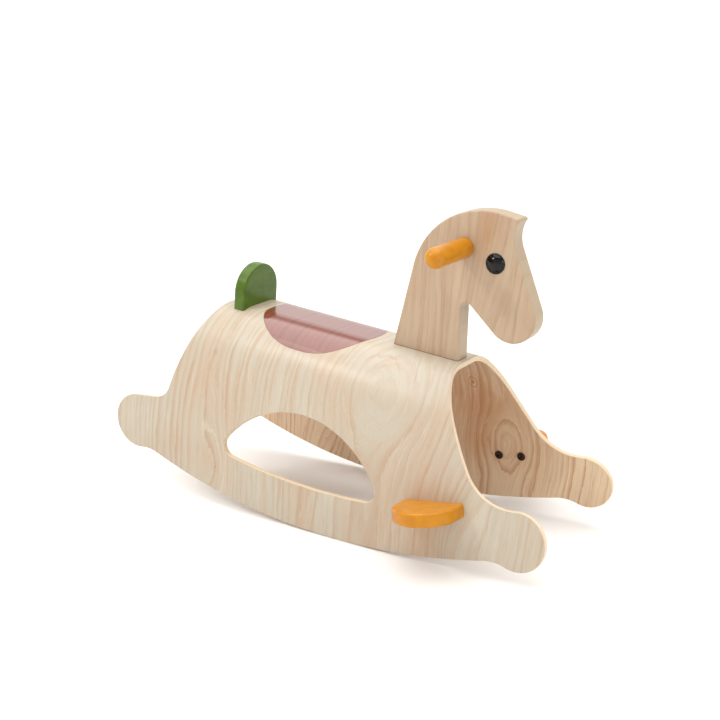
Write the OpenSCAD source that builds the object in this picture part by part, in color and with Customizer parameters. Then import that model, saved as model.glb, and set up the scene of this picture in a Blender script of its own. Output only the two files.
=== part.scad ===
// Child's rocking horse: a bent-plywood arch that rocks on its own lower edges, with a
// solid-wood head, two handles, a backrest, a saddle inlay and two footrests.
//
// The side outline is drawn in the "crest" plane: X forward along the crest, Z up, with the
// origin where the crest meets the front opening. level() then tips the horse nose-down to
// the attitude in which it balances and drops it on the floor at Z = 0.

/* [Plywood arch] */
// Thickness of the bent plywood
ply_t = 8.5; // [7:0.5:10]
// Half-width of the flat along the crest
crest_flat = 20; // [18:1:24]
// Radius of the tight bend beside the crest
crest_r = 62; // [58:1:66]
// Angle that the tight bend turns through
crest_turn = 44; // [42:1:46]
// Radius of the shoulder bend
shoulder_r = 130; // [124:1:136]
// Angle from the crest at which the shoulder bend ends
shoulder_turn = 68; // [66:1:70]
// Radius of the nearly flat flank, which ends upright
flank_r = 460; // [440:5:480]

/* [Rocker outline] */
// Radius of the rocker edge
rocker_r = 1000; // [960:10:1040]
// Depth of the rocker edge below the crest
rocker_drop = 286.6; // [280:0.2:292]
// Lowest point of the rocker edge behind the front opening
rocker_x = 230; // [222:1:238]
// Radius of the round front toes
toe_r = 42; // [40:0.5:44]
// Radius of the round rear heels
heel_r = 45; // [43:0.5:47]
// Nose-down attitude at which the horse balances, in degrees
pitch = 5.9; // [5.4:0.1:6.4]

/* [Flank window] */
// Radius of the window's arched top
window_r = 168; // [160:1:172]
// Height of wood left between the window and the rocker edge
window_rim = 70; // [66:1:76]
// Radius of the window's two lower corners
window_corner = 18; // [14:1:22]

/* [Head] */
// Thickness of the head board
head_t = 29; // [26:1:32]
// Radius of the crown
crown_r = 118.3; // [116:0.1:119]
// Radius of the muzzle
muzzle_r = 37; // [35:0.5:38]
// Diameter of the two handles
handle_d = 29; // [26:1:31]
// Distance from one handle's end to the other's
handle_span = 220; // [190:5:240]
// Diameter of each eye
eye_d = 29; // [24:1:30]

/* [Seat] */
// Length of the saddle inlay
saddle_len = 200; // [180:5:206]
// Width of the saddle inlay, seen from above
saddle_w = 147; // [130:1:150]
// Thickness of the saddle inlay
saddle_t = 0.8; // [0.6:0.1:1.2]
// Thickness of the backrest
back_t = 21; // [18:1:24]
// Half-width of the backrest, which is also the radius of its round top
back_r = 43; // [38:1:44]
// Height of the backrest above the crest
back_h = 64.5; // [56:0.5:70]

/* [Footrests] */
// Radius of the footrests' half-round ends
foot_r = 46; // [42:1:48]
// Length of their straight sides between the flank and the half-round end
foot_straight = 24; // [18:1:28]
// Thickness of each footrest
foot_t = 20; // [19:0.5:22]
// Angle at which the footrests rise towards the front, from the crest line
foot_rise = 14; // [12:0.2:16]
// Centre of the footrests, forward of the front opening
foot_x = 27; // [24:1:30]
// Depth of the footrests' mid-plane below the crest
foot_drop = 176.5; // [174:0.5:180]

/* [Fasteners] */
// Diameter of the bolt shanks
bolt_d = 6; // [5:0.5:6]
// Diameter of the bolt heads
bolt_head_d = 13.4; // [12:0.2:14]
// Height of the bolt heads
bolt_head_h = 2.6; // [2:0.2:3]
// Outer diameter of the threaded inserts
insert_d = 10; // [9:0.5:11]
// Diameter of the bolt holes in the plywood
bolt_hole_d = 6.6; // [6.5:0.1:7]

/* [Hidden] */
$fn = 96;
eps = 0.01;
lap = 3;                                    // degrees

// Colours
veneer = "#e3cba6";
head_wood = "#d8b183";
orange_paint = "#e59a26";
green_paint = "#4f7a2e";
saddle_red = "#7c2f26";
eye_black = "#101010";
bronze = "#3b2a22";
zinc = "#9a9a9c";

// Widest part of the arch and where its flanks turn upright
shoulder_c = [crest_flat, -crest_r] - (shoulder_r - crest_r) * [sin(crest_turn), cos(crest_turn)];
flank_c = shoulder_c - (flank_r - shoulder_r) * [sin(shoulder_turn), cos(shoulder_turn)];
arch_half_w = flank_c[0] + flank_r;
arch_depth = 320;

// Centres of the outline's arcs, as [x, z]
rocker_c = [-rocker_x, rocker_r - rocker_drop];
front_edge_r = 760;
front_edge_c = [673, 340];
throat_fillet_r = 75;
front_turn = 216.87;                       // direction from the centres to where the two arcs meet
throat_fillet_c = front_edge_c + (front_edge_r - throat_fillet_r) * dir(front_turn);
toe_dir = -75.9;                           // from the fillet's centre to the toe's
toe_c = throat_fillet_c + (throat_fillet_r + toe_r) * dir(toe_dir);
heel_c = [-532, -209];
under_fillet_r = 60;
rump_r = 480;
rump_c = [-1, -225];
rump_fillet_r = 28;
rump_fillet_c = kiss(rump_c, rump_r + rump_fillet_r, [-501, -129], 0, -1);

// Centre of the window's arched top, and of the arc that follows the rocker
window_c = [-207, -279];
window_floor_r = rocker_r - window_rim;

// Saddle
saddle_c = -256;
saddle_power = 2.4;

// Head outline
crown_c = [14, 105];
muzzle_c = [58, 82.5];
brow_c = [94, 196];
brow_r = 45;
throat_c = [-11.7, 80];
throat_r = 8.3;
nape_foot = [-124, 0];
neck_foot = [-15, 0];
forelock_tip = [54, 220];
handle_c = [-22.8, 166.2];
eye_c = [26.4, 153.2];
tenon_d = 16;
tenon_len = 14;
eye_peg_d = 6;
eye_peg_len = 9;
eye_flange = 1.6;
eye_dome = 5.5;

// Backrest
back_x = -393.5;

// Fastener places
head_bolt_x = [-100, -42];
back_bolt_y = 12;
foot_bolt_spacing = 39;
foot_bolt_low = 2.5;                        // below the footrest's mid-plane
insert_len = 18;
washer_d = 16;
washer_t = 1.6;
head_bolt_len = 34;
foot_bolt_len = 30;
hex_key = 4;
hex_depth = 1.8;

function dir(a) = [cos(a), sin(a)];
function arc(c, r, a0, a1, steps) = [for (i = [0:steps]) c + r * dir(a0 + (a1 - a0) * i / steps)];
function heading(v) = atan2(v[1], v[0]);
function reversed(list) = [for (i = [len(list) - 1:-1:0]) list[i]];

// Centre of a circle at distance ra from a and rb from b; side picks one of the two
function kiss(a, ra, b, rb, side) =
    let (d = norm(b - a), along = rb == 0 ? 0 : acos((d * d + ra * ra - rb * rb) / (2 * d * ra)))
    a + ra * dir(heading(b - a) + side * along);

// Direction of the normal to the crossed tangent of circles a and b, seen from b
function cross_normal(a, ra, b, rb, side) = heading(a - b) + side * acos((ra + rb) / norm(a - b));

// Half-width of the arch's outer face at a height z on the flank
function flank_y(z) = flank_c[0] + sqrt(flank_r * flank_r - (z - flank_c[1]) * (z - flank_c[1]));
// Lean of the flank from upright there
function flank_lean(z) = asin((z - flank_c[1]) / flank_r);

// Tips a model drawn in the crest plane nose-down and stands it on the floor
function tipped(p) = [p[0] * cos(pitch) + p[1] * sin(pitch), p[1] * cos(pitch) - p[0] * sin(pitch)];
front_end = tipped(toe_c)[0] + toe_r;
rear_end = tipped(heel_c)[0] - heel_r;
module level() {
    translate([-(front_end + rear_end) / 2, 0, rocker_r - tipped(rocker_c)[1]])
        rotate([0, pitch, 0]) children();
}

// Extrudes an [x, z] outline to both sides of the middle
module slab(width) {
    rotate([90, 0, 0]) linear_extrude(height = width, center = true) children();
}

module sector(c, r, a0, a1) {
    intersection() {
        translate(c) circle(r);
        polygon([c, c + 2 * r * dir(a0), c + 2 * r * dir(a1)]);
    }
}

// Everything under the arch's outer face, less a skin of the given thickness, as [y, z].
// Each bend laps a little under the flatter one that follows it.
module under_arch(skin) {
    translate([-crest_flat, -arch_depth]) square([2 * crest_flat, arch_depth - skin]);
    translate([-arch_half_w + skin, -arch_depth])
        square([2 * (arch_half_w - skin), arch_depth + flank_c[1]]);
    for (side = [0, 1]) mirror([side, 0]) intersection() {
        translate([0, -arch_depth]) square([arch_half_w + 1, arch_depth + 1]);
        union() {
            sector([crest_flat, -crest_r], crest_r - skin, 90 + lap, 90 - crest_turn - lap);
            sector(shoulder_c, shoulder_r - skin, 90 - crest_turn, 90 - shoulder_turn - lap);
            sector(flank_c, flank_r - skin, 90 - shoulder_turn, -lap);
        }
    }
}

// A length of the arch's skin between two depths below its outer face
module arch_skin(outer, inner, x0, x1) {
    translate([x0, 0, 0]) rotate([90, 0, 90]) linear_extrude(height = x1 - x0) difference() {
        under_arch(outer);
        translate([0, -eps]) under_arch(inner);
    }
}

// The side outline: front edge, toe, rocker, heel and rump
module outline() {
    above = 10;
    under_front = kiss(rocker_c, rocker_r + under_fillet_r, toe_c, toe_r + under_fillet_r, -1);
    under_rear = kiss(rocker_c, rocker_r + under_fillet_r, heel_c, heel_r + under_fillet_r, 1);
    neck = cross_normal(rump_fillet_c, rump_fillet_r, heel_c, heel_r, 1);
    toe_out = heading(under_front - toe_c);
    heel_in = heading(under_rear - heel_c);
    front_top = 180 + asin((front_edge_c[1] - above) / front_edge_r);
    rump_top = 180 - asin((above - rump_c[1]) / rump_r);
    polygon(concat(
        arc(front_edge_c, front_edge_r, front_top, front_turn, 5),
        arc(throat_fillet_c, throat_fillet_r, front_turn, 360 + toe_dir, 10),
        arc(toe_c, toe_r, 180 + toe_dir, toe_out, 22),
        arc(under_front, under_fillet_r, toe_out + 180, heading(rocker_c - under_front), 4),
        arc(rocker_c, rocker_r, heading(under_front - rocker_c), heading(under_rear - rocker_c), 26),
        arc(under_rear, under_fillet_r, heading(rocker_c - under_rear), heel_in + 180, 4),
        arc(heel_c, heel_r, heel_in, neck - 360, 20),
        arc(rump_fillet_c, rump_fillet_r, neck - 180, heading(rump_c - rump_fillet_c), 8),
        arc(rump_c, rump_r, heading(rump_fillet_c - rump_c), rump_top, 8)));
}

module window() {
    r_top = window_r - window_corner;
    r_floor = window_floor_r - window_corner;
    front = kiss(rocker_c, r_floor, window_c, r_top, 1);
    rear = kiss(rocker_c, r_floor, window_c, r_top, -1);
    polygon(concat(
        arc(window_c, window_r, heading(front - window_c), heading(rear - window_c), 24),
        arc(rear, window_corner, heading(rear - window_c), 360 + heading(rear - rocker_c), 8),
        arc(rocker_c, window_floor_r, heading(rear - rocker_c), heading(front - rocker_c), 10),
        arc(front, window_corner, heading(front - rocker_c), heading(front - window_c), 8)));
}

// Superellipse seen from above
module saddle_outline() {
    linear_extrude(height = 200, center = true)
        polygon([for (a = [0:6:354]) let (c = cos(a), s = sin(a))
            [saddle_c + saddle_len / 2 * sign(c) * pow(abs(c), 2 / saddle_power),
             saddle_w / 2 * sign(s) * pow(abs(s), 2 / saddle_power)]]);
}

module saddle_shape(outer, inner) {
    intersection() {
        arch_skin(outer, inner, saddle_c - saddle_len, saddle_c + saddle_len);
        saddle_outline();
    }
}

// Puts a footrest or its fasteners on a flank: X runs forward along the footrest,
// Y is the flank's outward normal and the origin lies on the flank's outer face
module on_flank(side) {
    mirror([0, side == "right" ? 1 : 0, 0])
        translate([foot_x, flank_y(-foot_drop), -foot_drop])
            rotate([flank_lean(-foot_drop), 0, 0]) rotate([0, -foot_rise, 0]) children();
}

module at_foot_bolts(side) {
    on_flank(side) for (s = [-1, 1])
        translate([s * foot_bolt_spacing / 2, 0, -foot_bolt_low]) children();
}

module at_back_bolts() {
    for (s = [-1, 1]) translate([back_x, s * back_bolt_y, 0]) children();
}

module at_head_bolts() {
    for (x = head_bolt_x) translate([x, 0, 0]) children();
}

// Bolt with its head's seat at the origin and its shank up Z, with a hex socket beneath
module bolt(length) {
    difference() {
        union() {
            translate([0, 0, -bolt_head_h]) cylinder(d1 = bolt_head_d - 2, d2 = bolt_head_d, h = 0.8);
            translate([0, 0, -bolt_head_h + 0.8]) cylinder(d = bolt_head_d, h = bolt_head_h - 0.8);
            cylinder(d = bolt_d, h = length);
        }
        translate([0, 0, -bolt_head_h - eps]) cylinder(d = hex_key / cos(30), h = hex_depth, $fn = 6);
    }
}

// Sleeve of a threaded insert standing on the origin, a hair wider than the bolt
module insert() {
    difference() {
        cylinder(d = insert_d, h = insert_len);
        translate([0, 0, -eps]) cylinder(d = bolt_d + 0.1, h = insert_len + 2 * eps);
    }
}

// Blind hole for an insert and the bolt's end beyond it
module insert_hole(depth) {
    translate([0, 0, -eps]) cylinder(d = insert_d + 0.02, h = insert_len + eps);
    cylinder(d = bolt_d + 0.6, h = depth);
}

module washer() {
    difference() {
        cylinder(d = washer_d, h = washer_t);
        translate([0, 0, -eps]) cylinder(d = bolt_hole_d, h = washer_t + 2 * eps);
    }
}

module plywood_arch() color(veneer) level() difference() {
    intersection() {
        arch_skin(0, ply_t, -620, 240);
        slab(2 * arch_half_w + 20) outline();
    }
    slab(2 * arch_half_w + 20) window();
    saddle_shape(-1, saddle_t);
    at_head_bolts() translate([0, 0, -20]) cylinder(d = bolt_hole_d, h = 40);
    at_back_bolts() translate([0, 0, -20]) cylinder(d = bolt_hole_d, h = 40);
    for (side = ["left", "right"])
        at_foot_bolts(side) rotate([-90, 0, 0]) translate([0, 0, -30]) cylinder(d = bolt_hole_d, h = 50);
}

module saddle_inlay() color(saddle_red) level() saddle_shape(0, saddle_t);

module head_outline() {
    nape = 360 + heading(nape_foot - crown_c) - acos(crown_r / norm(nape_foot - crown_c));
    jaw = cross_normal(throat_c, throat_r, muzzle_c, muzzle_r, 1);
    nose = 25.5;
    polygon(concat(
        [neck_foot, nape_foot],
        arc(crown_c, crown_r, nape, 81, 16),
        arc(forelock_tip - [3.6, 3.9], 3.6, 84, -24, 5),
        arc(brow_c, brow_r, 157, 180 + nose, 8),
        arc(muzzle_c, muzzle_r, nose, jaw, 18),
        arc(throat_c, throat_r, jaw + 180, 180, 6)));
}

module head_board() color(head_wood) level() difference() {
    slab(head_t) head_outline();
    translate([handle_c[0], 0, handle_c[1]]) rotate([90, 0, 0])
        cylinder(d = tenon_d, h = head_t + 2, center = true);
    for (side = [-1, 1])
        translate([eye_c[0], side * (head_t / 2 + eps), eye_c[1]]) rotate([side * 90, 0, 0])
            cylinder(d = eye_peg_d, h = eye_peg_len + 0.5);
    at_head_bolts() insert_hole(head_bolt_len);
}

// Turned grip with a round end, a shoulder against the head and a tenon into it
module handle(side) {
    straight = (handle_span - handle_d - head_t) / 2;
    translate([handle_c[0], side * head_t / 2, handle_c[1]]) rotate([-side * 90, 0, 0]) {
        cylinder(d = handle_d, h = straight);
        translate([0, 0, straight]) sphere(d = handle_d);
        translate([0, 0, -tenon_len]) cylinder(d = tenon_d, h = tenon_len + eps);
    }
}

module left_handle() color(orange_paint) level() handle(1);
module right_handle() color(orange_paint) level() handle(-1);

// Domed eye on a low flange with a peg behind it
module eye(side) {
    dome_r = (pow(eye_d / 2 - eye_flange, 2) + eye_dome * eye_dome) / (2 * eye_dome);
    translate([eye_c[0], side * head_t / 2, eye_c[1]]) rotate([-side * 90, 0, 0]) {
        cylinder(d = eye_d, h = eye_flange);
        intersection() {
            translate([0, 0, eye_flange + eye_dome - dome_r]) sphere(r = dome_r);
            translate([0, 0, eye_flange / 2]) cylinder(d = eye_d, h = eye_dome + eye_flange);
        }
        translate([0, 0, -eye_peg_len]) cylinder(d = eye_peg_d, h = eye_peg_len + eps);
    }
}

module left_eye() color(eye_black) level() eye(1);
module right_eye() color(eye_black) level() eye(-1);

module backrest() color(green_paint) level() difference() {
    translate([back_x, 0, 0]) rotate([90, 0, 90])
        linear_extrude(height = back_t, center = true) union() {
            translate([0, back_h - back_r]) circle(back_r);
            translate([-back_r, -30]) square([2 * back_r, back_h - back_r + 30]);
        }
    translate([back_x - back_t, 0, 0]) rotate([90, 0, 90])
        linear_extrude(height = 2 * back_t) under_arch(0);
    at_back_bolts() insert_hole(head_bolt_len);
}

module footrest(side) {
    difference() {
        on_flank(side) translate([0, 0, -foot_t / 2]) {
            translate([0, foot_straight, 0]) intersection() {
                cylinder(r = foot_r, h = foot_t);
                translate([-foot_r, 0, 0]) cube([2 * foot_r, foot_r, foot_t]);
            }
            translate([-foot_r, -6, 0]) cube([2 * foot_r, foot_straight + 6, foot_t]);
        }
        translate([foot_x - 2 * foot_r, 0, 0]) rotate([90, 0, 90])
            linear_extrude(height = 4 * foot_r) under_arch(0);
        at_foot_bolts(side) rotate([-90, 0, 0]) insert_hole(foot_bolt_len - ply_t + 1);
    }
}

module left_footrest() color(orange_paint) level() footrest("left");
module right_footrest() color(orange_paint) level() footrest("right");

module head_bolts() color(bronze) level()
    at_head_bolts() translate([0, 0, -ply_t - washer_t]) bolt(head_bolt_len);
module backrest_bolts() color(bronze) level()
    at_back_bolts() translate([0, 0, -ply_t - washer_t]) bolt(head_bolt_len);
module head_washers() color(zinc) level()
    at_head_bolts() translate([0, 0, -ply_t - washer_t]) washer();
module backrest_washers() color(zinc) level()
    at_back_bolts() translate([0, 0, -ply_t - washer_t]) washer();
module head_inserts() color(zinc) level() at_head_bolts() insert();
module backrest_inserts() color(zinc) level() at_back_bolts() insert();

// Seats of the footrest bolts stand clear of the curved inner face by a hair
module foot_bolts(side) {
    at_foot_bolts(side) rotate([-90, 0, 0]) translate([0, 0, -ply_t - 0.3]) bolt(foot_bolt_len);
}
module foot_inserts(side) {
    at_foot_bolts(side) rotate([-90, 0, 0]) translate([0, 0, 0.3]) insert();
}

module left_footrest_bolts() color(bronze) level() foot_bolts("left");
module right_footrest_bolts() color(bronze) level() foot_bolts("right");
module left_footrest_inserts() color(zinc) level() foot_inserts("left");
module right_footrest_inserts() color(zinc) level() foot_inserts("right");

plywood_arch();
saddle_inlay();
head_board();
left_handle();
right_handle();
left_eye();
right_eye();
backrest();
left_footrest();
right_footrest();
head_bolts();
head_washers();
head_inserts();
backrest_bolts();
backrest_washers();
backrest_inserts();
left_footrest_bolts();
right_footrest_bolts();
left_footrest_inserts();
right_footrest_inserts();
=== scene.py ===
"""Child's rocking horse: a bent-plywood arch, a wooden head, painted handles, footrests and
backrest, and a lacquered saddle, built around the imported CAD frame.

Shapes are worked out in millimetres in the crest plane (X forward along the crest, Z up, the
origin at the crest's front), as the CAD source does, and level() then tips them nose-down
onto the floor of the row frame, in metres.
"""

import math

import bpy
import numpy as np
from mathutils import Matrix, Vector
from mathutils.geometry import delaunay_2d_cdt


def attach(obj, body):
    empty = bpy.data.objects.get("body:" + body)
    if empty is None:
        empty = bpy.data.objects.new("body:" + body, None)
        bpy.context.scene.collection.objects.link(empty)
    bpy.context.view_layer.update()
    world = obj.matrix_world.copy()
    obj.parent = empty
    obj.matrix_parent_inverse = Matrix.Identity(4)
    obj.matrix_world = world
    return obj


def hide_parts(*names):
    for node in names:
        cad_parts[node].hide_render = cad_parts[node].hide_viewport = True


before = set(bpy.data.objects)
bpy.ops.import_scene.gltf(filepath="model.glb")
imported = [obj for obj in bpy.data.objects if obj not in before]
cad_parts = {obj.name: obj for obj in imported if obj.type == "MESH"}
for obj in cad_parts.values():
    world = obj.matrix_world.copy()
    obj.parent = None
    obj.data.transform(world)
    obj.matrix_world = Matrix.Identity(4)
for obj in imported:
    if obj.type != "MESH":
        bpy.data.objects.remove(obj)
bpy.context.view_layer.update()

# ---------------------------------------------------------------- sizes, in millimetres
PLY = 8.5
FLAT, CREST_R, CREST_TURN = 20.0, 62.0, math.radians(44)
SHOULDER_R, SHOULDER_TURN = 130.0, math.radians(68)
FLANK_R = 460.0
ROCKER_C, ROCKER_R = (-230.0, 713.4), 1000.0
TOE_R, HEEL_R, HEEL_C = 42.0, 45.0, (-532.0, -209.0)
PITCH = math.radians(5.9)
TRIM = 0.12

SHOULDER_C = np.array([FLAT, -CREST_R]) - (SHOULDER_R - CREST_R) * np.array(
    [math.sin(CREST_TURN), math.cos(CREST_TURN)])
FLANK_C = SHOULDER_C - (FLANK_R - SHOULDER_R) * np.array(
    [math.sin(SHOULDER_TURN), math.cos(SHOULDER_TURN)])
S_CREST = FLAT + CREST_R * CREST_TURN
S_SHOULDER = S_CREST + SHOULDER_R * (SHOULDER_TURN - CREST_TURN)
S_FLANK = S_SHOULDER + FLANK_R * (math.pi / 2 - SHOULDER_TURN)


# ---------------------------------------------------------------- plane geometry
def heading(v):
    """The direction of a vector, in degrees."""
    return math.degrees(math.atan2(v[1], v[0]))


def way(a):
    """The unit vector in a direction given in degrees."""
    return np.array([math.cos(math.radians(a)), math.sin(math.radians(a))])


def arc(c, r, a0, a1, step=0.5):
    n = max(2, math.ceil(abs(math.radians(a1 - a0)) * r / step))
    return [np.array(c) + r * way(a0 + (a1 - a0) * i / n) for i in range(n + 1)]


def kiss(a, ra, b, rb, side):
    """Centre of a circle at distance ra from a and rb from b."""
    a, b = np.array(a), np.array(b)
    d = np.linalg.norm(b - a)
    along = 0 if rb == 0 else math.degrees(math.acos((d * d + ra * ra - rb * rb) / (2 * d * ra)))
    return a + ra * way(heading(b - a) + side * along)


def cross_normal(a, ra, b, rb, side):
    """Direction from a to where the line that crosses between two circles touches a's."""
    a, b = np.array(a), np.array(b)
    return heading(a - b) + side * math.degrees(math.acos((ra + rb) / np.linalg.norm(a - b)))


def even(loop, step):
    """A closed loop with points an even distance apart."""
    p = np.vstack([loop, loop[:1]])
    run = np.concatenate([[0], np.cumsum(np.linalg.norm(np.diff(p, axis=0), axis=1))])
    t = np.linspace(0, run[-1], max(8, int(run[-1] / step)) + 1)[:-1]
    return np.c_[np.interp(t, run, p[:, 0]), np.interp(t, run, p[:, 1])]


def turned(loop, left=True):
    """The loop, run anticlockwise when left is true."""
    x, y = loop[:, 0], loop[:, 1]
    area = np.sum(x * np.roll(y, -1) - y * np.roll(x, -1))
    return loop if (area > 0) == left else loop[::-1]


def inward(loop):
    """Unit normals to the left of a closed loop, stretched at its corners."""
    e = np.roll(loop, -1, 0) - loop
    e /= np.linalg.norm(e, axis=1)[:, None] + 1e-12
    n = np.c_[-e[:, 1], e[:, 0]]
    m = n + np.roll(n, 1, 0)
    m /= np.linalg.norm(m, axis=1)[:, None] + 1e-12
    return m, m / np.clip(np.sum(m * n, 1), 0.4, 1)[:, None]


def trimmed(loop):
    """The loop, just inside itself: a smooth curve stands out past the CAD's flat facets."""
    loop = turned(loop)
    return loop + inward(loop)[1] * TRIM


def within(points, loops):
    """Which points lie inside the loops, by the even-odd rule."""
    inside = np.zeros(len(points), bool)
    for p in loops:
        q = np.roll(p, -1, 0)
        for (x0, y0), (x1, y1) in zip(p, q):
            if y0 == y1:
                continue
            hit = (points[:, 1] > y0) != (points[:, 1] > y1)
            inside ^= hit & (points[:, 0] < x0 + (points[:, 1] - y0) * (x1 - x0) / (y1 - y0))
    return inside


# ---------------------------------------------------------------- placing in the row frame
def tip(x, z):
    """A point of the crest plane, turned nose-down."""
    return (x * math.cos(PITCH) + z * math.sin(PITCH), z * math.cos(PITCH) - x * math.sin(PITCH))


FRONT_C, FRONT_R, THROAT_R, MEET, TOE_DIR = (673.0, 340.0), 760.0, 75.0, 216.87, -75.9
THROAT_C = np.array(FRONT_C) + (FRONT_R - THROAT_R) * way(MEET)
TOE_C = THROAT_C + (THROAT_R + TOE_R) * way(TOE_DIR)
SHIFT = (-(tip(*TOE_C)[0] + TOE_R + tip(*HEEL_C)[0] - HEEL_R) / 2, ROCKER_R - tip(*ROCKER_C)[1])


def turn(v):
    x, z = tip(v[..., 0], v[..., 2])
    return np.stack([x, v[..., 1], z], -1)


def level(v):
    return (turn(np.asarray(v, float)) + np.array([SHIFT[0], 0, SHIFT[1]])) / 1000


# ---------------------------------------------------------------- the bent sheet
def section(s):
    """(y, z, angle) of the arch's outer face at a distance s round it from the crest."""
    a = np.abs(s)
    f1 = np.clip((a - FLAT) / CREST_R, 0, CREST_TURN)
    f2 = np.clip((a - S_CREST) / SHOULDER_R, 0, SHOULDER_TURN - CREST_TURN) + CREST_TURN
    f3 = np.clip((a - S_SHOULDER) / FLANK_R, 0, math.pi / 2 - SHOULDER_TURN) + SHOULDER_TURN
    y = np.where(a < S_CREST, np.minimum(a, FLAT) + CREST_R * np.sin(f1),
                 np.where(a < S_SHOULDER, SHOULDER_C[0] + SHOULDER_R * np.sin(f2),
                          FLANK_C[0] + FLANK_R * np.sin(f3)))
    z = np.where(a < S_CREST, -CREST_R * (1 - np.cos(f1)),
                 np.where(a < S_SHOULDER, SHOULDER_C[1] + SHOULDER_R * np.cos(f2),
                          FLANK_C[1] + FLANK_R * np.cos(f3) - np.maximum(a - S_FLANK, 0)))
    f = np.where(a < S_CREST, f1, np.where(a < S_SHOULDER, f2, f3))
    return y * np.sign(s), z, f * np.sign(s)


def round_from_z(z):
    """Distance round the arch at a depth z."""
    z = min(z, 0.0)
    if z > -CREST_R * (1 - math.cos(CREST_TURN)):
        return FLAT + CREST_R * math.acos(1 + z / CREST_R)
    if z > SHOULDER_C[1] + SHOULDER_R * math.cos(SHOULDER_TURN):
        return S_CREST + SHOULDER_R * (math.acos((z - SHOULDER_C[1]) / SHOULDER_R) - CREST_TURN)
    if z > FLANK_C[1]:
        return S_SHOULDER + FLANK_R * (math.acos((z - FLANK_C[1]) / FLANK_R) - SHOULDER_TURN)
    return S_FLANK + FLANK_C[1] - z


TABLE_S = np.linspace(0, S_FLANK, 4000)
TABLE_Y = section(TABLE_S)[0]


def round_from_y(y):
    return np.sign(y) * np.interp(np.abs(y), TABLE_Y, TABLE_S)


def arch_place(u, v, depth):
    """Position, and the directions of u, v and the face's normal."""
    y, z, f = section(v)
    n = np.stack([np.zeros_like(f), np.sin(f), np.cos(f)], -1)
    t = np.stack([np.zeros_like(f), np.cos(f), -np.sin(f)], -1)
    x = np.zeros_like(n)
    x[..., 0] = 1
    return np.stack([u, y, z], -1) - n * np.asarray(depth)[..., None], x, t, n


def flat_place(origin, U, V):
    """The place() of a flat board whose front face holds the origin and the directions U and V."""
    origin, U, V = (np.array(a, float) for a in (origin, U, V))
    N = np.cross(U, V)

    def place(u, v, depth):
        p = (origin + u[..., None] * U + v[..., None] * V - np.asarray(depth)[..., None] * N)
        return p, np.broadcast_to(U, p.shape), np.broadcast_to(V, p.shape), np.broadcast_to(N, p.shape)
    return place


# ---------------------------------------------------------------- mesh making
def new_mesh(name, verts, faces, normals, dev, rim, kinds, materials):
    """A smooth-shaded piece. dev holds each corner's place in the flat sheet and rim is 1 on its
    cut edges; the materials read both."""
    mesh = bpy.data.meshes.new(name)
    mesh.from_pydata([tuple(p) for p in level(verts)], [], faces)
    mesh.update()
    for slot_material in materials:
        mesh.materials.append(slot_material)
    mesh.polygons.foreach_set("material_index", kinds)
    mesh.polygons.foreach_set("use_smooth", [True] * len(mesh.polygons))
    a = mesh.attributes.new("dev", "FLOAT_VECTOR", "POINT")
    a.data.foreach_set("vector", (np.asarray(dev, float) / 1000).astype(np.float32).ravel())
    a = mesh.attributes.new("rim", "FLOAT", "POINT")
    a.data.foreach_set("value", np.asarray(rim, np.float32))
    n = turn(np.asarray(normals, float))
    mesh.normals_split_custom_set_from_vertices([tuple(v) for v in n])
    obj = bpy.data.objects.new(name, mesh)
    bpy.context.scene.collection.objects.link(obj)
    return obj


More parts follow.
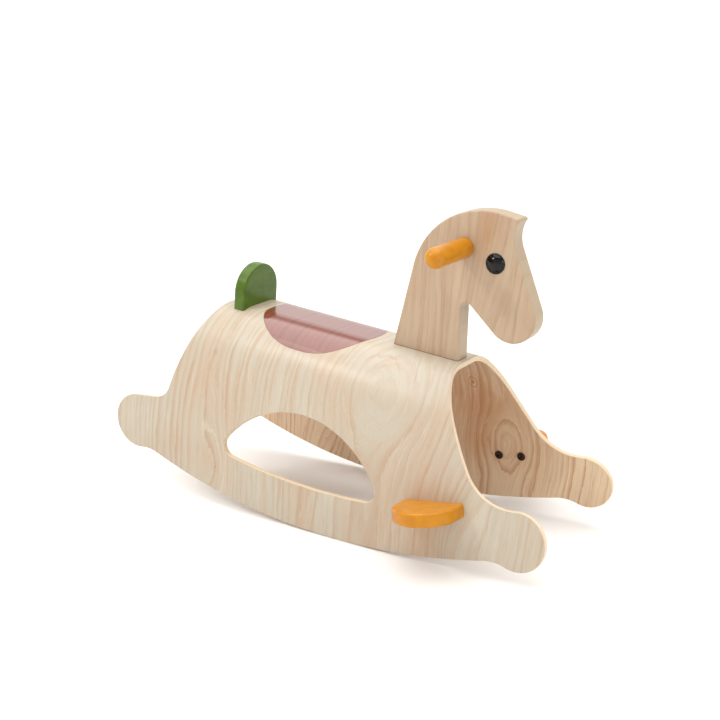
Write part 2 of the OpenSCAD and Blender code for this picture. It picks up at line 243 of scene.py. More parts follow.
def plate(name, loops, thick, edge, place, materials, grid=None, steps=4):
    """A sheet with rounded edges. The first loop is its outline and the rest are holes; place()
    puts a point of the flat sheet in space, and grid lists points where a bent one needs corners."""
    margin = 2.2
    loops = [turned(np.asarray(p), i == 0) for i, p in enumerate(loops)]
    prof = []
    for k in range(steps + 1):
        a = math.pi / 2 * k / steps
        prof.append((edge * (1 - math.sin(a)), edge * (1 - math.cos(a)), math.sin(a), math.cos(a)))
    prof += [(i, thick - d, out, -up) for i, d, out, up in reversed(prof)]
    verts, normals, dev, rim, faces, kinds, ends = [], [], [], [], [], [], []
    base = 0
    for loop in loops:
        m, stretched = inward(loop)
        count = len(loop)
        for row, (inset, depth, out, up) in enumerate(prof):
            p = loop + stretched * inset
            pos, U, V, N = place(p[:, 0], p[:, 1], np.full(count, depth))
            outward = -(m[:, :1] * U + m[:, 1:] * V)
            verts.append(pos)
            normals.append(outward * out + N * up)
            dev.append(np.c_[p, np.full(count, depth)])
            rim.append(np.full(count, abs(out)))
            if row in (0, len(prof) - 1):
                ends.append((base + row * count, p))
        for row in range(len(prof) - 1):
            for i in range(count):
                j = (i + 1) % count
                a, b = base + row * count, base + (row + 1) * count
                faces.append((a + i, b + i, b + j, a + j))
                kinds.append(0 if row < len(prof) // 2 else len(materials) - 1)
        base += len(prof) * count
    rings = [p for start, p in ends[::2]]
    inner = np.zeros((0, 2))
    if grid is not None:
        shy = [loop + inward(loop)[1] * (edge + margin) for loop in loops]
        inner = grid[within(grid, shy)]
    flat_pts = np.vstack(rings + [inner])
    edges, at = [], 0
    for p in rings:
        edges += [(at + i, at + (i + 1) % len(p)) for i in range(len(p))]
        at += len(p)
    cut = delaunay_2d_cdt([Vector(p) for p in flat_pts], edges, [], 0, 1e-5, True)
    source = [o[0] if o else -1 for o in cut[3]]
    tris = np.array([[source[i] for i in f] for f in cut[2] if len(f) == 3])
    tris = tris[(tris >= 0).all(1)]
    keep = within(flat_pts[tris].mean(1), rings)
    tris = tris[keep]
    a, b, c = flat_pts[tris[:, 0]], flat_pts[tris[:, 1]], flat_pts[tris[:, 2]]
    area = (b[:, 0] - a[:, 0]) * (c[:, 1] - a[:, 1]) - (b[:, 1] - a[:, 1]) * (c[:, 0] - a[:, 0])
    tris[area < 0] = tris[area < 0][:, ::-1]
    tris = tris[np.abs(area) > 1e-7]
    for top in (True, False):
        index = np.concatenate(
            [start + np.arange(len(p)) for start, p in ends[0 if top else 1::2]]
            + [base + np.arange(len(inner))])
        if len(inner):
            depth = np.full(len(inner), 0.0 if top else thick)
            pos, U, V, N = place(inner[:, 0], inner[:, 1], depth)
            verts.append(pos)
            normals.append(N if top else -N)
            dev.append(np.c_[inner, depth])
            rim.append(np.zeros(len(inner)))
            base += len(inner)
        t = index[tris] if top else index[tris][:, ::-1]
        faces += [tuple(int(i) for i in f) for f in t]
        kinds += [0 if top else len(materials) - 1] * len(t)
    return new_mesh(name, np.vstack(verts), faces, np.vstack(normals), np.vstack(dev),
                    np.concatenate(rim), kinds, materials)


def lathe(name, profile, origin, axis, material, segments=64):
    """A turned piece: profile lists (along, radius) points from one end to the other."""
    origin, axis = np.array(origin, float), np.array(axis, float)
    axis /= np.linalg.norm(axis)
    side = np.cross(axis, [1.0, 0, 0])
    side /= np.linalg.norm(side)
    third = np.cross(axis, side)
    prof = np.array(profile, float)
    grad = np.gradient(prof, axis=0)
    grad /= np.linalg.norm(grad, axis=1)[:, None] + 1e-12
    verts, normals, dev, faces = [], [], [], []
    for (h, r), (dh, dr) in zip(prof, grad):
        for k in range(segments):
            a = 2 * math.pi * k / segments
            spoke = side * math.cos(a) + third * math.sin(a)
            verts.append(origin + axis * h + spoke * r)
            normals.append(spoke * dh - axis * dr)
            dev.append((r * math.cos(a), h, r * math.sin(a)))
    for i in range(len(prof) - 1):
        for k in range(segments):
            j = (k + 1) % segments
            faces.append((i * segments + k, i * segments + j, (i + 1) * segments + j,
                          (i + 1) * segments + k))
    for ring in (0, len(prof) - 1):
        h = prof[ring][0]
        centre = len(verts)
        verts.append(origin + axis * h)
        normals.append(-axis if ring == 0 else axis)
        dev.append((0, h, 0))
        for k in range(segments):
            j = (k + 1) % segments
            a, b = ring * segments + k, ring * segments + j
            faces.append((centre, b, a) if ring == 0 else (centre, a, b))
    return new_mesh(name, np.array(verts), faces, np.array(normals), np.array(dev),
                    np.ones(len(verts)), [0] * len(faces), [material])


# ---------------------------------------------------------------- material nodes
class Nodes:
    """Short names for the nodes a material is made of."""

    def __init__(self, name):
        self.material = bpy.data.materials.new(name)
        self.material.use_nodes = True
        self.tree = self.material.node_tree
        self.tree.nodes.clear()
        self.out = self.tree.nodes.new("ShaderNodeOutputMaterial")
        self.shader = self.tree.nodes.new("ShaderNodeBsdfPrincipled")
        self.tree.links.new(self.shader.outputs[0], self.out.inputs[0])

    def put(self, socket, value):
        """Link the value to the socket, or set it there when it is a constant."""
        if isinstance(value, bpy.types.NodeSocket):
            self.tree.links.new(value, socket)
        else:
            socket.default_value = value

    def set(self, **values):
        for key, value in values.items():
            self.put(self.shader.inputs[key.replace("_", " ")], value)

    def field(self, name):
        n = self.tree.nodes.new("ShaderNodeAttribute")
        n.attribute_name = name
        return n

    def math(self, op, a, b=0.0, clamp=False):
        n = self.tree.nodes.new("ShaderNodeMath")
        n.operation, n.use_clamp = op, clamp
        for socket, value in zip(n.inputs, (a, b)):
            self.put(socket, value)
        return n.outputs[0]

    def add(self, *terms):
        total = terms[0]
        for t in terms[1:]:
            total = self.math("ADD", total, t)
        return total

    def mul(self, a, b):
        return self.math("MULTIPLY", a, b)

    def split(self, vector):
        n = self.tree.nodes.new("ShaderNodeSeparateXYZ")
        self.put(n.inputs[0], vector)
        return n.outputs

    def join(self, x, y, z=0.0):
        n = self.tree.nodes.new("ShaderNodeCombineXYZ")
        for socket, value in zip(n.inputs, (x, y, z)):
            self.put(socket, value)
        return n.outputs[0]

    def noise(self, vector, scale=1.0, detail=2.0, rough=0.5):
        n = self.tree.nodes.new("ShaderNodeTexNoise")
        self.put(n.inputs["Vector"], vector)
        n.inputs["Scale"].default_value = scale
        n.inputs["Detail"].default_value = detail
        n.inputs["Roughness"].default_value = rough
        return n.outputs["Fac"]

    def step(self, value, low, high, to_low=0.0, to_high=1.0):
        """A smooth step from to_low to to_high as the value goes from low to high."""
        n = self.tree.nodes.new("ShaderNodeMapRange")
        n.interpolation_type = "SMOOTHSTEP"
        for i, v in enumerate((value, low, high, to_low, to_high)):
            self.put(n.inputs[i], v)
        return n.outputs[0]

    def mix(self, fac, a, b, mode="MIX"):
        n = self.tree.nodes.new("ShaderNodeMix")
        n.data_type, n.blend_type = "RGBA", mode
        self.put(n.inputs[0], fac)
        self.put(n.inputs[6], a)
        self.put(n.inputs[7], b)
        return n.outputs[2]

    def shade(self, colour, factor):
        """The colour with its brightness multiplied by a number."""
        n = self.tree.nodes.new("ShaderNodeHueSaturation")
        self.put(n.inputs["Color"], colour)
        self.put(n.inputs["Value"], factor)
        return n.outputs[0]

    def bump(self, height, distance, strength):
        n = self.tree.nodes.new("ShaderNodeBump")
        n.inputs["Strength"].default_value = strength
        n.inputs["Distance"].default_value = distance
        self.put(n.inputs["Height"], height)
        self.put(self.shader.inputs["Normal"], n.outputs[0])


def rgb(r, g, b):
    """An sRGB colour given in 0 to 255, as linear RGBA."""
    def linear(c):
        c = c / 255
        return c / 12.92 if c <= 0.04045 else ((c + 0.055) / 1.055) ** 2.4
    return (linear(r), linear(g), linear(b), 1.0)


def off(n, value, middle, half):
    """How far a value is from the middle, in half widths."""
    return n.mul(n.math("SUBTRACT", value, middle), 1 / half)


def swing(n, noise, width):
    """A noise from 0 to 1, made to swing either side of zero."""
    return n.mul(n.math("SUBTRACT", noise, 0.5), width)


def hump(n, *offsets):
    """A smooth hump: 1 where every offset is 0, and nearly gone two half widths away."""
    return n.math("POWER", math.e, n.mul(n.add(*(n.mul(d, d) for d in offsets)), -1.0))


def wood_fields(n, seed, heart, figures, rings):
    """Growth rings, fibres and pores in the sheet's own coordinates: X across the grain and Y
    along it, in metres. The sheet is cut beside the heart of a trunk that bends away from it:
    heart gives (x, y) of the nearest place, the distance there, how much further the trunk
    bends away, and over what length. Rings close round that place and run straight elsewhere.
    Each figure is (x, y, half width, half length, height), a smaller swelling of the rings."""
    x, y, depth = n.split(n.field("dev").outputs["Vector"])
    hx, hy, near, bend, length = heart
    slow = n.noise(n.join(n.mul(x, 7.0), n.mul(y, 2.4), seed), 1.0, 2.0)
    quick = n.noise(n.join(n.mul(x, 55.0), n.mul(y, 13.0), seed + 3.1), 1.0, 2.0)
    jag = n.noise(n.join(n.mul(x, 380.0), n.mul(y, 30.0), seed + 5.2), 1.0, 2.0)
    away = n.math("SUBTRACT", near + bend, n.mul(hump(n, off(n, y, hy, length)), bend))
    across = n.math("SUBTRACT", n.add(x, swing(n, slow, 0.032)), hx)
    g = n.math("SQRT", n.add(n.mul(across, across), n.mul(away, away)))
    g = n.add(g, swing(n, quick, 0.008), swing(n, jag, 0.0036))
    for fx, fy, wide, tall, height in figures:
        g = n.add(g, n.mul(hump(n, off(n, x, fx, wide), off(n, y, fy, tall)), height))
    uneven = n.noise(n.join(n.mul(g, 24.0), seed + 7.7, 0.0), 1.0, 2.0)
    phase = n.add(n.mul(g, rings), n.mul(uneven, 3.4))
    saw = n.math("FRACT", phase)
    line = n.mul(n.step(saw, 0.30, 0.95), n.step(saw, 0.955, 1.0, 1.0, 0.0))
    which = n.noise(n.join(n.math("FLOOR", phase), seed + 1.3, n.mul(y, 1.6)), 1.0, 1.0)
    line = n.mul(line, n.step(which, 0.30, 0.72))
    streak = n.noise(n.join(n.mul(g, 120.0), n.mul(y, 4.2), seed + 9.0), 1.0, 4.0, 0.62)
    thread = n.noise(n.join(n.add(n.mul(g, 330.0), n.mul(x, 120.0)), n.mul(y, 9.0), seed + 2.2),
                     1.0, 3.0, 0.65)
    fibre = n.noise(n.join(n.mul(x, 1500.0), n.mul(y, 34.0), n.mul(depth, 300.0)), 1.0, 2.0, 0.6)
    pore = n.noise(n.join(n.mul(x, 2300.0), n.mul(y, 110.0), seed), 1.0, 0.0)
    broad = n.noise(n.join(n.mul(g, 13.0), n.mul(y, 5.0), seed + 4.4), 1.0, 3.0)
    return dict(x=x, y=y, depth=depth, line=line, streak=streak, fibre=fibre, thread=thread,
                pore=n.step(pore, 0.66, 0.76), broad=broad)


def wood(name, light, dark, pink, seed, heart, figures, rings, lines, streaks, knots=(),
         stains_and_sheen=(), edges_and_foot_shade=False, plies=False):
    """Bare wood under a thin clear coat. heart, figures and rings are as in wood_fields(), and
    lines and streaks say how strongly they show. Each knot is (x, y, radius, strength) and each
    patch, a stain or a painted highlight, is (x, y, half width, half length, strength, colour)."""
    n = Nodes(name)
    f = wood_fields(n, seed, heart, figures, rings)
    pale = (*(c * 1.13 for c in light[:3]), 1.0)
    colour = n.mix(n.step(f["broad"], 0.44, 0.24), light, pale)
    colour = n.mix(n.mul(n.step(f["broad"], 0.48, 0.74), 0.55), colour, pink)
    for sx, sy, wide, tall, amount, tint in stains_and_sheen:
        patch = n.mul(hump(n, off(n, f["x"], sx, wide), off(n, f["y"], sy, tall)),
                      n.add(0.45, n.mul(n.step(f["streak"], 0.25, 0.7), 0.75)))
        colour = n.mix(n.math("MULTIPLY", patch, amount, clamp=True), colour, tint)
    colour = n.mix(n.mul(n.step(f["streak"], 0.46, 0.74), streaks), colour, pink)
    colour = n.mix(n.mul(f["line"], lines), colour, dark)
    colour = n.mix(n.mul(n.step(f["thread"], 0.54, 0.74), streaks * 0.8), colour, dark)
    colour = n.mix(n.mul(n.step(f["thread"], 0.45, 0.28), 0.6), colour, pale)
    for kx, ky, radius, strength in knots:
        dx, dy = off(n, f["x"], kx, radius), off(n, f["y"], ky, radius * 1.5)
        d = n.math("SQRT", n.add(n.mul(dx, dx), n.mul(dy, dy)))
        d = n.add(d, swing(n, f["streak"], 0.5))
        ring = n.mul(n.step(n.math("SINE", n.mul(d, 9.0)), 0.0, 1.0), n.step(d, 2.0, 0.3))
        colour = n.mix(n.mul(ring, strength), colour, dark)
        colour = n.mix(n.mul(n.step(d, 0.55, 0.05), strength), colour, dark)
    tone = n.add(0.98, swing(n, f["fibre"], 0.16), n.mul(f["pore"], -0.07))
    colour = n.shade(colour, tone)
    if edges_and_foot_shade:
        # paler sawn edges, and painted shade: dark brown along the foot, where the piece stands on the
        # arch
        edge = n.mul(n.step(n.field("rim").outputs["Fac"], 0.55, 0.85), 0.7)
        colour = n.mix(edge, colour, rgb(170, 151, 124))
        # painted shade: the lowest millimetre or two of the head turns dark brown, standing in for the
        # shadow in the joint
        colour = n.mix(n.mul(n.step(f["y"], 0.0016, 0.0002), 0.75), colour, rgb(92, 62, 40))
    if plies:
        # the cut edge shows the plies: lighter ones with the fibres along it, darker ones end-on
        ply_pitch = 0.0024
        rim = n.step(n.field("rim").outputs["Fac"], 0.45, 0.75)
        wobble = n.noise(n.join(n.mul(f["x"], 30.0), n.mul(f["y"], 30.0), 0.3), 1.0, 2.0)
        band = n.math("SINE", n.add(n.mul(f["depth"], 2 * math.pi / ply_pitch),
                                    n.mul(wobble, 1.2)))
        grit = n.noise(n.join(n.mul(f["x"], 700.0), n.mul(f["y"], 700.0),
                              n.mul(f["depth"], 1500.0)), 1.0, 2.0)
        ply = n.mix(n.step(band, -0.5, 0.6), rgb(226, 210, 184), rgb(202, 174, 140))
        ply = n.shade(ply, n.add(0.94, n.mul(grit, 0.12)))
        glue = n.step(n.math("ABSOLUTE", band), 0.22, 0.0)
        ply = n.mix(n.mul(glue, 0.35), ply, rgb(164, 126, 90))
        colour = n.mix(rim, colour, ply)
    rough = n.add(0.36, n.mul(f["fibre"], 0.16), n.mul(f["line"], 0.05))
    n.set(Base_Color=colour, Roughness=rough, Specular_IOR_Level=0.34, Coat_Weight=0.24,
          Coat_Roughness=0.25, Coat_IOR=1.45)
    n.bump(n.add(n.mul(f["fibre"], 0.7), n.mul(f["line"], 0.5), n.mul(f["pore"], -0.8)),
           0.00006, 0.7)
    return n.material


def paint(name, base, deep, seed):
    """Semi-gloss paint over wood: the grain telegraphs faintly and the film is slightly uneven."""
    n = Nodes(name)
    x, y, z = n.split(n.field("dev").outputs["Vector"])
    cloud = n.noise(n.join(x, y, n.add(z, seed)), 55.0, 3.0)
    fibre = n.noise(n.join(n.mul(x, 90.0), n.mul(y, 900.0), n.mul(z, 500.0)), 1.0, 3.0)
    peel = n.noise(n.join(x, y, z), 700.0, 2.0)
    colour = n.mix(n.step(cloud, 0.36, 0.70), base, deep)
    colour = n.shade(colour, n.add(0.97, swing(n, fibre, 0.09), swing(n, peel, 0.12)))
    n.set(Base_Color=colour, Roughness=n.add(0.28, n.mul(fibre, 0.10)),
          Specular_IOR_Level=0.22, Coat_Weight=0.30, Coat_Roughness=0.20, Coat_IOR=1.45)
    n.bump(n.add(n.mul(peel, 0.6), n.mul(fibre, 0.5)), 0.00010, 0.6)
    return n.material


def lacquer(name):
    """Dark red stain under clear lacquer; the veneer's grain shows through."""
    n = Nodes(name)
    straight = (0.3, 0, 0.2, 0, 1)
    f = wood_fields(n, 5.0, straight, [], 95.0)
    colour = n.mix(n.mul(f["line"], 0.55), rgb(122, 58, 40), rgb(88, 34, 26))
    colour = n.mix(n.mul(n.step(f["streak"], 0.48, 0.75), 0.5), colour, rgb(104, 36, 28))
    colour = n.shade(colour, n.add(0.96, swing(n, f["fibre"], 0.2)))
    n.set(Base_Color=colour, Roughness=n.add(0.26, n.mul(f["fibre"], 0.08)),
          Specular_IOR_Level=0.2, Coat_Weight=1.0, Coat_Roughness=0.07, Coat_IOR=1.68)
    n.bump(n.add(n.mul(f["fibre"], 0.4), n.mul(f["streak"], 0.6)), 0.00005, 0.5)
    return n.material


def metal(name, base, deep, rough, metallic=1.0):
    """Plated or blackened steel, a little uneven."""
    n = Nodes(name)
    coords = n.tree.nodes.new("ShaderNodeTexCoord").outputs["Object"]
    cloud = n.noise(coords, 260.0, 3.0)
    fine = n.noise(coords, 2600.0, 2.0)
    n.set(Base_Color=n.mix(n.step(cloud, 0.35, 0.7), base, deep), Metallic=metallic,
          Roughness=n.add(rough, n.mul(cloud, 0.14)), Specular_IOR_Level=0.5)
    n.bump(fine, 0.00004, 0.5)
    return n.material


def black_plastic(name):
    """Moulded plastic with a clear gloss."""
    n = Nodes(name)
    coords = n.tree.nodes.new("ShaderNodeTexCoord").outputs["Object"]
    dust = n.noise(coords, 900.0, 3.0)
    n.set(Base_Color=n.mix(n.step(dust, 0.4, 0.8), rgb(6, 5, 5), rgb(18, 15, 14)),
          Roughness=n.add(0.10, n.mul(dust, 0.10)), Specular_IOR_Level=0.0,
          Coat_Weight=0.7, Coat_Roughness=0.03, Coat_IOR=1.45)
    n.bump(n.noise(coords, 320.0, 2.0), 0.00004, 0.4)
    return n.material


BIRCH, ROSY, TAN, SHEEN_WHITE = rgb(182, 173, 156), rgb(182, 153, 125), rgb(171, 137, 106), rgb(206, 200, 186)
LINING, COPPER, UMBER = rgb(214, 190, 160), rgb(194, 142, 100), rgb(172, 122, 84)
outer_veneer = wood(
    "birch_outer", BIRCH, TAN, ROSY, seed=1.7,
    heart=(-0.085, -0.105, 0.046, 0.026, 0.062),
    figures=[(-0.36, -0.300, 0.030, 0.075, 0.030), (0.070, -0.300, 0.035, 0.080, 0.030),
             (-0.205, 0.210, 0.070, 0.130, 0.060), (-0.440, 0.120, 0.040, 0.110, 0.040)],
    rings=88.0, lines=0.64, streaks=0.55,
    knots=[(-0.396, -0.122, 0.0035, 0.9), (-0.362, -0.302, 0.0060, 0.6)],
    # the whitish patch at (-0.060, -0.040), on top of the near side in front of the saddle, is a
    # painted highlight, not a stain
    stains_and_sheen=[(0.000, -0.270, 0.060, 0.090, 0.75, ROSY), (-0.060, -0.040, 0.080, 0.040, 0.5, SHEEN_WHITE),
            (-0.360, -0.180, 0.070, 0.060, 0.45, ROSY), (-0.380, -0.290, 0.060, 0.050, 0.35, ROSY),
            (-0.100, 0.260, 0.110, 0.060, 0.5, ROSY)],
    plies=True)
inner_veneer = wood(
    "birch_inner", LINING, UMBER, rgb(202, 162, 124), seed=8.2,
    heart=(0.024, 0.226, 0.012, 0.020, 0.042),
    figures=[(-0.150, -0.160, 0.060, 0.110, 0.050), (-0.300, 0.230, 0.050, 0.100, 0.040)],
    rings=112.0, lines=0.74, streaks=0.66,
    knots=[(-0.036, 0.122, 0.0080, 0.9)],
    stains_and_sheen=[(-0.030, 0.165, 0.050, 0.055, 0.8, COPPER), (-0.030, 0.235, 0.030, 0.040, 0.5, COPPER),
            (-0.200, 0.100, 0.120, 0.120, 0.5, COPPER), (0.022, 0.225, 0.018, 0.030, 0.7, LINING),
            (-0.220, 0.190, 0.120, 0.060, 0.5, COPPER), (0.100, -0.100, 0.300, 0.120, 0.3, COPPER)],
    plies=True)
head_grain = wood(
    "head_wood", rgb(180, 156, 130), rgb(152, 118, 87), rgb(170, 136, 106), seed=12.4,
    heart=(-0.160, 0.120, 0.030, 0.030, 0.200),
    figures=[(0.020, 0.060, 0.030, 0.120, 0.030), (-0.060, 0.150, 0.020, 0.090, 0.016)],
    rings=64.0, lines=0.45, streaks=0.55,
    stains_and_sheen=[(0.010, 0.200, 0.012, 0.040, 0.6, rgb(174, 134, 98))], edges_and_foot_shade=True)
orange = paint("orange_paint", rgb(194, 127, 0), rgb(184, 115, 0), 2.0)
green = paint("green_paint", rgb(74, 102, 0), rgb(64, 90, 0), 6.0)
saddle_red = lacquer("saddle_lacquer")
eye_black = black_plastic("eye_black")
bronze = metal("bolt_bronze", rgb(70, 48, 38), rgb(44, 30, 24), 0.38, 0.8)
zinc = metal("zinc", rgb(172, 174, 178), rgb(150, 152, 158), 0.30)


def ride(obj, slot, *nodes):
    """Fix a piece to the one body and have it stand for its CAD nodes."""
    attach(obj, "root")
    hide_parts(*nodes)
    return obj


# ---------------------------------------------------------------- the arch
def arch_outline():
    under_r, rump_r, fillet_r, rump_c = 60.0, 480.0, 28.0, np.array([-1.0, -225.0])
    under_front = kiss(ROCKER_C, ROCKER_R + under_r, TOE_C, TOE_R + under_r, -1)
    under_rear = kiss(ROCKER_C, ROCKER_R + under_r, HEEL_C, HEEL_R + under_r, 1)
    fillet_c = kiss(rump_c, rump_r + fillet_r, [-501, -129], 0, -1)
    neck = cross_normal(fillet_c, fillet_r, HEEL_C, HEEL_R, 1)
    toe_out = heading(under_front - TOE_C)
    heel_in = heading(under_rear - np.array(HEEL_C))
    side = (arc(FRONT_C, FRONT_R, 180 + math.degrees(math.asin(FRONT_C[1] / FRONT_R)), MEET, 0.25)
            + arc(THROAT_C, THROAT_R, MEET, 360 + TOE_DIR)
            + arc(TOE_C, TOE_R, 180 + TOE_DIR, toe_out)
            + arc(under_front, under_r, toe_out + 180, heading(ROCKER_C - under_front))
            + arc(ROCKER_C, ROCKER_R, heading(under_front - ROCKER_C), heading(under_rear - ROCKER_C))
            + arc(under_rear, under_r, heading(ROCKER_C - under_rear), heel_in + 180)
            + arc(HEEL_C, HEEL_R, heel_in, neck - 360)
            + arc(fillet_c, fillet_r, neck - 180, heading(rump_c - fillet_c))
            + arc(rump_c, rump_r, heading(fillet_c - rump_c),
                  180 - math.degrees(math.asin(-rump_c[1] / rump_r)), 0.25))
    half = np.array([(x, round_from_z(z)) for x, z in side])
    return trimmed(even(np.vstack([half, (half * [1, -1])[::-1]]), 2.6))


def window_loop(side):
    corner, top_r, floor_r, top_c = 18.0, 168.0, ROCKER_R - 70.0, np.array([-207.0, -279.0])
    front = kiss(ROCKER_C, floor_r - corner, top_c, top_r - corner, 1)
    rear = kiss(ROCKER_C, floor_r - corner, top_c, top_r - corner, -1)
    loop = (arc(top_c, top_r, heading(front - top_c), heading(rear - top_c))
            + arc(rear, corner, heading(rear - top_c), 360 + heading(rear - ROCKER_C))
            + arc(ROCKER_C, floor_r, heading(rear - ROCKER_C), heading(front - ROCKER_C))
            + arc(front, corner, heading(front - ROCKER_C), heading(front - top_c)))
    return even(np.array([(x, side * round_from_z(z)) for x, z in loop]), 2.6)


reach = np.concatenate([np.arange(0, FLAT, 9), np.arange(FLAT, S_SHOULDER, 3.0),
                        np.arange(S_SHOULDER, 400, 7.0)])
rounds = np.concatenate([-reach[:0:-1], reach])
lattice = np.array([(x, s) for x in np.arange(-580, 200, 11.0) for s in rounds])
arch = plate("arch", [arch_outline(), window_loop(1), window_loop(-1)], PLY, 1.4, arch_place,
             [outer_veneer, inner_veneer], lattice)
ride(arch, "birch_ply", "plywood_arch")

# ---------------------------------------------------------------- the saddle
saddle_at, saddle_half, saddle_wide, squareness, proud = -256.0, 100.0, 73.5, 2.4, 0.25
turns = np.radians(np.arange(0, 360, 1.0))
power = 2 / squareness
saddle_x = saddle_at + saddle_half * np.sign(np.cos(turns)) * np.abs(np.cos(turns)) ** power
saddle_y = saddle_wide * np.sign(np.sin(turns)) * np.abs(np.sin(turns)) ** power
saddle_loop = even(np.c_[saddle_x, round_from_y(saddle_y)], 2.0)


def saddle_place(u, v, depth):
    return arch_place(u, v, np.asarray(depth) - proud)


saddle_lattice = np.array([(x, s) for x in np.arange(-360, -150, 9.0)
                           for s in rounds if abs(s) < 110])
saddle = plate("saddle", [saddle_loop], 0.5, 0.24, saddle_place, [saddle_red], saddle_lattice,
               steps=3)
ride(saddle, "saddle_lacquer", "saddle_inlay")


# ---------------------------------------------------------------- the head
def head_loop():
    crown_c, crown_r = np.array([14.0, 105.0]), 118.3
    muzzle_c, muzzle_r = np.array([58.0, 82.5]), 37.0
    brow_c, brow_r, tip_r = np.array([94.0, 196.0]), 45.0, 3.6
    throat_c, throat_r = np.array([-11.7, 80.0]), 8.3
    nape_foot, neck_foot, tuck = np.array([-124.0, 0.0]), np.array([-15.0, 0.0]), 5.0
    nape = 360 + heading(nape_foot - crown_c) - math.degrees(
        math.acos(crown_r / np.linalg.norm(nape_foot - crown_c)))
    jaw = cross_normal(throat_c, throat_r, muzzle_c, muzzle_r, 1)
    nose = 25.5
    loop = ([neck_foot, neck_foot - [0, tuck], nape_foot - [tuck * 0.25, tuck], nape_foot]
            + arc(crown_c, crown_r, nape, 81)
            + arc(np.array([54.0, 220.0]) - [tip_r, 3.9], tip_r, 84, -24, 0.3)
            + arc(brow_c, brow_r, 157, 180 + nose)
            + arc(muzzle_c, muzzle_r, nose, jaw)
            + arc(throat_c, throat_r, jaw + 180, 180, 0.4))
    return trimmed(even(np.array(loop), 1.6))


head_t = 29.0
head = plate("head", [head_loop()], head_t, 2.8,
             flat_place((0, -head_t / 2, 0), (1, 0, 0), (0, 0, 1)), [head_grain], steps=5)
ride(head, "head_wood", "head_board")

# ---------------------------------------------------------------- handles and eyes
grip_at, eye_at, grip_r, straight = (-22.8, 166.2), (26.4, 153.2), 14.5, 81.0
grip = [(-2, grip_r - 1.0), (0.0, grip_r - 1.0), (0.25, grip_r - 0.55), (0.7, grip_r - 0.18),
        (1.3, grip_r), (3, grip_r)]
grip += [(h, grip_r) for h in np.linspace(8, straight - 3, 12)]
grip += [(straight + grip_r * math.sin(a), grip_r * math.cos(a))
         for a in np.radians(np.arange(0, 89, 5.0))] + [(straight + grip_r, 0.15)]
rim_h, dome_edge, dome_h = 1.6, 12.85, 5.5
eye = [(-1, 14.3), (0, 14.4), (0.5, 14.5), (1.0, 14.45), (1.45, 14.1), (rim_h, 13.7), (1.5, 13.2),
       (1.35, 12.95), (rim_h, dome_edge)]
dome_r = (dome_edge ** 2 + dome_h ** 2) / (2 * dome_h)
eye += [(rim_h + dome_h - dome_r + dome_r * math.cos(a), dome_r * math.sin(a))
        for a in np.linspace(math.asin(dome_edge / dome_r), 0.01, 14)[1:]]
for side, word in ((1, "left"), (-1, "right")):
    for part, profile, (x, z), material, slot, node in (
            ("_grip", grip, grip_at, orange, "orange_paint", "_handle"),
            ("_eyeball", eye, eye_at, eye_black, "eye_black", "_eye")):
        turning = lathe(word + part, profile, (x, side * head_t / 2, z), (0, side, 0), material)
        ride(turning, slot, word + node)

# ---------------------------------------------------------------- the backrest
back_at, back_r, back_t, back_rise, sunk = -393.5, 43.0, 21.0, 21.5, 5.0
back_y = np.linspace(-back_r, back_r, 60)
back_foot = section(round_from_y(back_y))[1] - sunk
back_loop = np.vstack([np.array(arc((0, back_rise), back_r, 0, 180)), np.c_[back_y, back_foot]])
backrest = plate("backrest_board", [even(back_loop, 1.6)], back_t, 3.8,
                 flat_place((back_at + back_t / 2, 0, 0), (0, 1, 0), (0, 0, 1)), [green], steps=6)
ride(backrest, "green_paint", "backrest")

# ---------------------------------------------------------------- the footrests
foot_x, foot_z, foot_r, foot_straight, foot_t = 27.0, -176.5, 46.0, 24.0, 20.0
foot_s = round_from_z(foot_z)
foot_y, _, foot_f = (float(v) for v in section(np.array(foot_s)))
lean, rise = math.pi / 2 - foot_f, math.radians(14)
lift = Matrix.Rotation(lean, 3, "X") @ Matrix.Rotation(-rise, 3, "Y")
step_loop = np.vstack([np.array(arc((0, foot_straight), foot_r, 0, 180)),
                       [(-foot_r, -sunk), (foot_r, -sunk)]])
for side, word in ((1, "left"), (-1, "right")):
    flip = np.array([1, side, 1])
    run, out, up = (np.array(lift.col[i]) * flip for i in range(3))
    origin = np.array([foot_x, side * foot_y, foot_z]) + up * foot_t / 2
    tread = plate(word + "_tread", [even(step_loop, 1.6)], foot_t, 3.4,
                  flat_place(origin, run * side, out), [orange], steps=6)
    ride(tread, "orange_paint", word + "_footrest")

# ---------------------------------------------------------------- fasteners, as CAD made them
for node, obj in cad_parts.items():
    if obj.hide_render:
        continue
    obj.data.materials.clear()
    obj.data.materials.append(bronze if node.endswith("bolts") else zinc)

# ---------------------------------------------------------------- stage, light and camera
scene = bpy.context.scene
scene.view_settings.view_transform = "Standard"
world = bpy.data.worlds.new("studio")
scene.world = world
world.use_nodes = True
# A light tent: bright walls, a dimmer band above them and a broad softbox overhead
tree = world.node_tree
sky = tree.nodes["Background"]
heights = tree.nodes.new("ShaderNodeSeparateXYZ")
tree.links.new(tree.nodes.new("ShaderNodeTexCoord").outputs["Generated"], heights.inputs[0])
tent = tree.nodes.new("ShaderNodeValToRGB")
tree.links.new(heights.outputs["Z"], tent.inputs[0])
tree.links.new(tent.outputs[0], sky.inputs["Color"])
TENT_TOP = 3.2
sky.inputs["Strength"].default_value = TENT_TOP
for mark in list(tent.color_ramp.elements)[1:]:
    tent.color_ramp.elements.remove(mark)
tent.color_ramp.elements[0].color = (0.34, 0.34, 0.34, 1)
for height, glow in ((0.20, 1.08), (0.28, 0.78), (0.59, 0.78), (0.645, 0.10), (0.715, 0.10),
                     (0.82, TENT_TOP)):
    mark = tent.color_ramp.elements.new(height)
    v = glow / TENT_TOP
    mark.color = (v, v * 0.992, v * 0.975, 1)

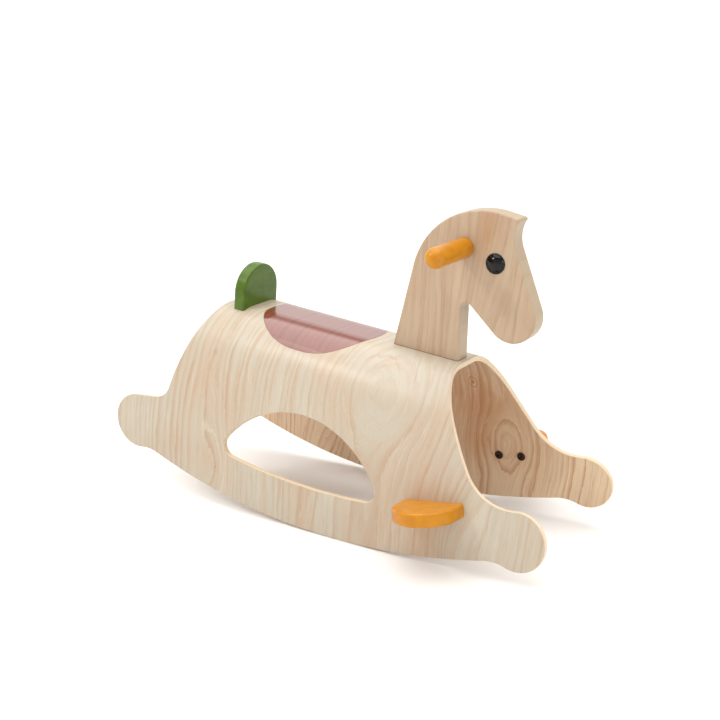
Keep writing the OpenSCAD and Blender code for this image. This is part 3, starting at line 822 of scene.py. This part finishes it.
floor_mesh = bpy.data.meshes.new("floor")
floor_mesh.from_pydata([(-30, -30, 0), (30, -30, 0), (30, 30, 0), (-30, 30, 0)], [], [(0, 1, 2, 3)])
floor = bpy.data.objects.new("floor", floor_mesh)
scene.collection.objects.link(floor)
f = Nodes("floor_white")
f.set(Base_Color=(0.80, 0.795, 0.785, 1), Roughness=0.9, Specular_IOR_Level=0.1)
floor_mesh.materials.append(f.material)


def softbox(name, at, towards, size, watts, tint=(1, 1, 1)):
    """A square lamp. Large ones shade the shapes and small ones leave glints on the gloss."""
    light = bpy.data.lights.new(name, "AREA")
    light.shape, light.size, light.size_y = "RECTANGLE", size[0], size[1]
    light.energy, light.color = watts, tint
    obj = bpy.data.objects.new(name, light)
    obj.location = at
    obj.rotation_mode = "QUATERNION"
    obj.rotation_quaternion = (Vector(towards) - Vector(at)).to_track_quat("-Z", "Y")
    scene.collection.objects.link(obj)


softbox("key", (-1.2, -1.7, 2.1), (0, 0, 0.2), (1.1, 1.1), 6, (1.0, 0.98, 0.95))
softbox("spark", (-1.15, -1.6, 1.95), (0, 0, 0.3), (0.26, 0.26), 12)
softbox("glint", (2.3, -1.1, 1.0), (0, 0, 0.3), (0.22, 0.22), 4)
softbox("back", (-1.6, 2.3, 2.0), (0, 0, 0.4), (3.0, 2.0), 9)

# The camera's viewpoint, given in the crest plane
turn_z, down, roll = math.radians(32.02), math.radians(20.18), math.radians(4.19)
back = np.array([math.sin(turn_z) * math.cos(down), -math.cos(turn_z) * math.cos(down),
                 math.sin(down)])
right = np.array([math.cos(turn_z), math.sin(turn_z), 0.0])
above = np.cross(right, -back)
cam_x = right * math.cos(roll) + above * math.sin(roll)
cam_y = above * math.cos(roll) - right * math.sin(roll)
cam_data = bpy.data.cameras.new("camera")
cam_data.sensor_width, cam_data.lens = 36.0, 55.56
cam = bpy.data.objects.new("camera", cam_data)
scene.collection.objects.link(cam)
axes = [turn(v) for v in (cam_x, cam_y, back)]
place = Matrix([[*(float(a[i]) for a in axes)] for i in range(3)]).to_4x4()
place.translation = Vector(level(np.array([657.3, -1352.1, 539.5])))
cam.matrix_world = place
scene.camera = cam
